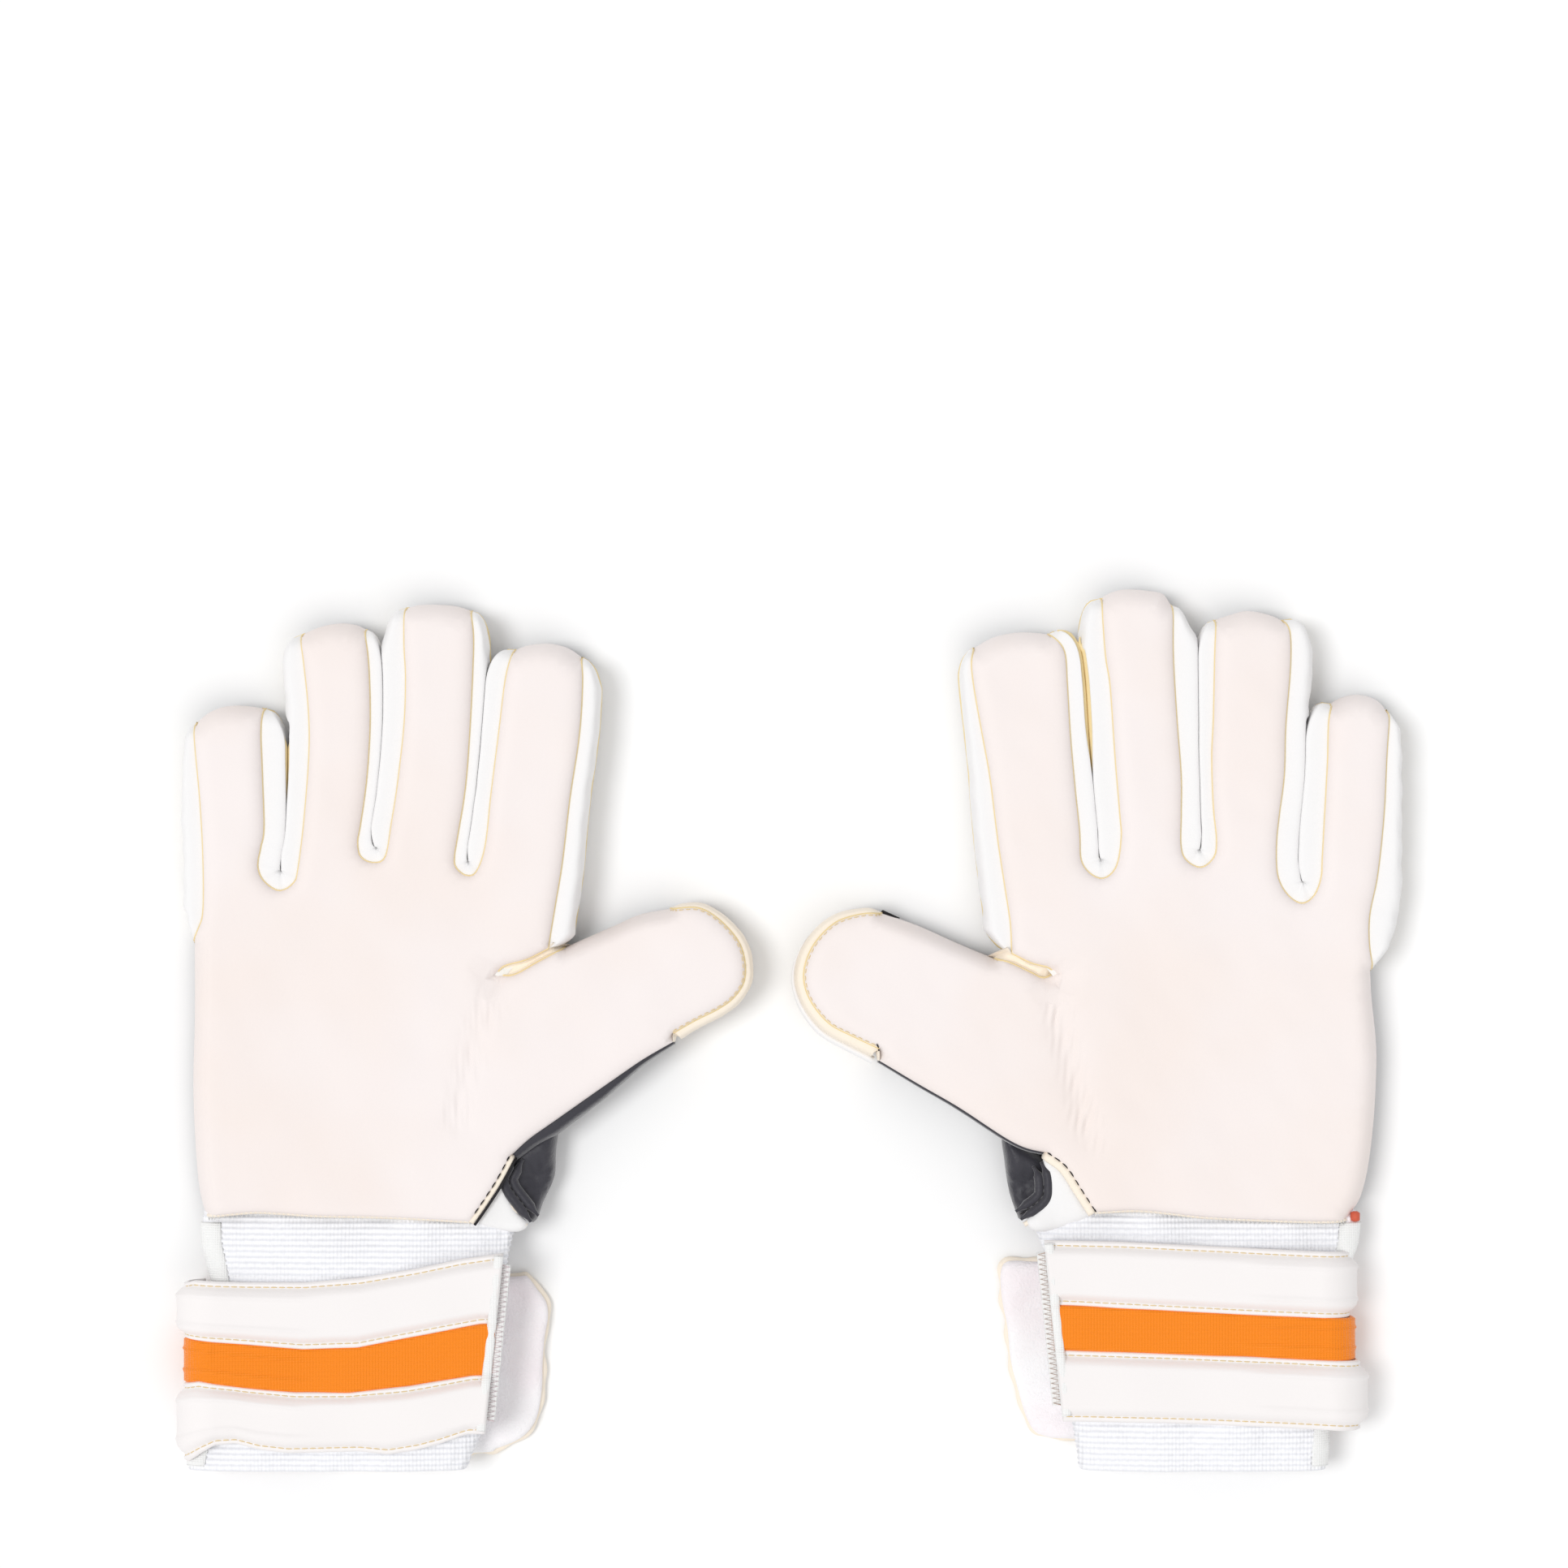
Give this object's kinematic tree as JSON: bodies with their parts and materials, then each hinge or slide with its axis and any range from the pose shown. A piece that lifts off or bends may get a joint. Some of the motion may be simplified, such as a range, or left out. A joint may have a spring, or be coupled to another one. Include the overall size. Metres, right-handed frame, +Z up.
{
  "type": "goalkeeper gloves",
  "caption": "Pair of goalkeeper gloves with latex foam palms, padded fabric gussets, knitted wristbands and wrist straps with hook and loop closures.",
  "frame": {"origin": "on the surface that the gloves lie on, below the middle of the pair, both gloves palm up", "axes": "+X across the pair from the right-hand glove to the left-hand glove, +Y towards the fingertips, +Z up out of the palms"},
  "size_m": [0.3925, 0.2822, 0.0272],
  "materials": {
    "palm_latex": "soft natural latex foam, matt, very slightly pink",
    "back_latex": "dark embossed latex foam, satin",
    "gusset_fabric": "padded white fabric",
    "dark_fabric": "dark grey padded fabric",
    "lining": "thin white towelling",
    "knit": "white ribbed knit",
    "tape": "white woven binding tape",
    "orange_elastic": "finely woven orange elastic",
    "strap_latex": "white latex foam, matt",
    "loop_pile": "white loop pile",
    "closure_latex": "cream latex foam, matt",
    "hook_pile": "white brushed hook and loop pile"
  },
  "bodies": {
    "right_hand": {"right_palm_foam": "palm_latex", "right_palm_lining": "lining", "right_back_panel": "back_latex", "right_crotch_gussets": "gusset_fabric", "right_side_gussets": "gusset_fabric", "right_thumb_gore": "dark_fabric", "right_wrist_notch": "gusset_fabric", "right_wristband": "knit", "right_wristband_tape": "tape", "right_strap_elastic": "orange_elastic", "right_strap_bands": "strap_latex", "right_loop_patch": "loop_pile"},
    "right_closure": {"right_closure_elastic": "orange_elastic", "right_closure_pad": "closure_latex", "right_closure_hook": "hook_pile"},
    "right_thumb": {"right_thumb_front": "palm_latex", "right_thumb_back": "back_latex", "right_thumb_gusset": "dark_fabric"},
    "right_little": {"right_little_front": "palm_latex", "right_little_back": "back_latex", "right_little_gussets": "gusset_fabric"},
    "right_ring": {"right_ring_front": "palm_latex", "right_ring_back": "back_latex", "right_ring_gussets": "gusset_fabric"},
    "right_middle": {"right_middle_front": "palm_latex", "right_middle_back": "back_latex", "right_middle_gussets": "gusset_fabric"},
    "right_index": {"right_index_front": "palm_latex", "right_index_back": "back_latex", "right_index_gussets": "gusset_fabric"},
    "left_hand": {"left_palm_foam": "palm_latex", "left_palm_lining": "lining", "left_back_panel": "back_latex", "left_crotch_gussets": "gusset_fabric", "left_side_gussets": "gusset_fabric", "left_thumb_gore": "dark_fabric", "left_wrist_notch": "gusset_fabric", "left_wristband": "knit", "left_wristband_tape": "tape", "left_strap_elastic": "orange_elastic", "left_strap_bands": "strap_latex", "left_loop_patch": "loop_pile"},
    "left_closure": {"left_closure_elastic": "orange_elastic", "left_closure_pad": "closure_latex", "left_closure_hook": "hook_pile"},
    "left_thumb": {"left_thumb_front": "palm_latex", "left_thumb_back": "back_latex", "left_thumb_gusset": "dark_fabric"},
    "left_little": {"left_little_front": "palm_latex", "left_little_back": "back_latex", "left_little_gussets": "gusset_fabric"},
    "left_ring": {"left_ring_front": "palm_latex", "left_ring_back": "back_latex", "left_ring_gussets": "gusset_fabric"},
    "left_middle": {"left_middle_front": "palm_latex", "left_middle_back": "back_latex", "left_middle_gussets": "gusset_fabric"},
    "left_index": {"left_index_front": "palm_latex", "left_index_back": "back_latex", "left_index_gussets": "gusset_fabric"}
  },
  "joints": [
    {"name": "right_little_bend", "type": "hinge", "parent": "right_hand", "child": "right_little", "pos_m": [-0.1783, 0.0574, 0.02], "axis": [1, 0, 0], "range_deg": [-8, 85], "stiffness_Nm_per_rad": 0.02},
    {"name": "right_ring_bend", "type": "hinge", "parent": "right_hand", "child": "right_ring", "pos_m": [-0.1467, 0.0664, 0.02], "axis": [0.9998, -0.0192, 0], "range_deg": [-8, 85], "stiffness_Nm_per_rad": 0.02},
    {"name": "right_middle_bend", "type": "hinge", "parent": "right_hand", "child": "right_middle", "pos_m": [-0.1159, 0.0664, 0.02], "axis": [0.9979, -0.0645, 0], "range_deg": [-8, 85], "stiffness_Nm_per_rad": 0.02},
    {"name": "right_index_bend", "type": "hinge", "parent": "right_hand", "child": "right_index", "pos_m": [-0.0825, 0.0624, 0.02], "axis": [0.9956, -0.0941, 0], "range_deg": [-8, 85], "stiffness_Nm_per_rad": 0.02},
    {"name": "right_thumb_bend", "type": "hinge", "parent": "right_hand", "child": "right_thumb", "pos_m": [-0.07115, 0.00017, 0.02], "axis": [0.4848, -0.8746, 0], "range_deg": [-10, 70], "stiffness_Nm_per_rad": 0.03},
    {"name": "right_closure_open", "type": "hinge", "parent": "right_hand", "child": "right_closure", "pos_m": [-0.1898, -0.1056, 0.0042], "axis": [0, 1, 0], "range_deg": [0, 110]},
    {"name": "left_little_bend", "type": "hinge", "parent": "left_hand", "child": "left_little", "pos_m": [0.1804, 0.0544, 0.02], "axis": [1, -0.0087, 0], "range_deg": [-8, 85], "stiffness_Nm_per_rad": 0.02},
    {"name": "left_ring_bend", "type": "hinge", "parent": "left_hand", "child": "left_ring", "pos_m": [0.1483, 0.0649, 0.02], "axis": [1, 0, 0], "range_deg": [-8, 85], "stiffness_Nm_per_rad": 0.02},
    {"name": "left_middle_bend", "type": "hinge", "parent": "left_hand", "child": "left_middle", "pos_m": [0.1152, 0.0649, 0.02], "axis": [0.9976, 0.0698, 0], "range_deg": [-8, 85], "stiffness_Nm_per_rad": 0.02},
    {"name": "left_index_bend", "type": "hinge", "parent": "left_hand", "child": "left_index", "pos_m": [0.0794, 0.0614, 0.02], "axis": [0.9959, 0.0906, 0], "range_deg": [-8, 85], "stiffness_Nm_per_rad": 0.02},
    {"name": "left_thumb_bend", "type": "hinge", "parent": "left_hand", "child": "left_thumb", "pos_m": [0.06254, -0.00053, 0.02], "axis": [0.4848, 0.8746, 0], "range_deg": [-10, 70], "stiffness_Nm_per_rad": 0.03},
    {"name": "left_closure_open", "type": "hinge", "parent": "left_hand", "child": "left_closure", "pos_m": [0.1804, -0.0996, 0.0042], "axis": [0, -1, 0], "range_deg": [0, 110]},
    {"name": "gloves_apart", "type": "slide", "parent": "right_hand", "child": "left_hand", "axis": [1, 0, 0], "range_m": [0, 0.2]}
  ]
}
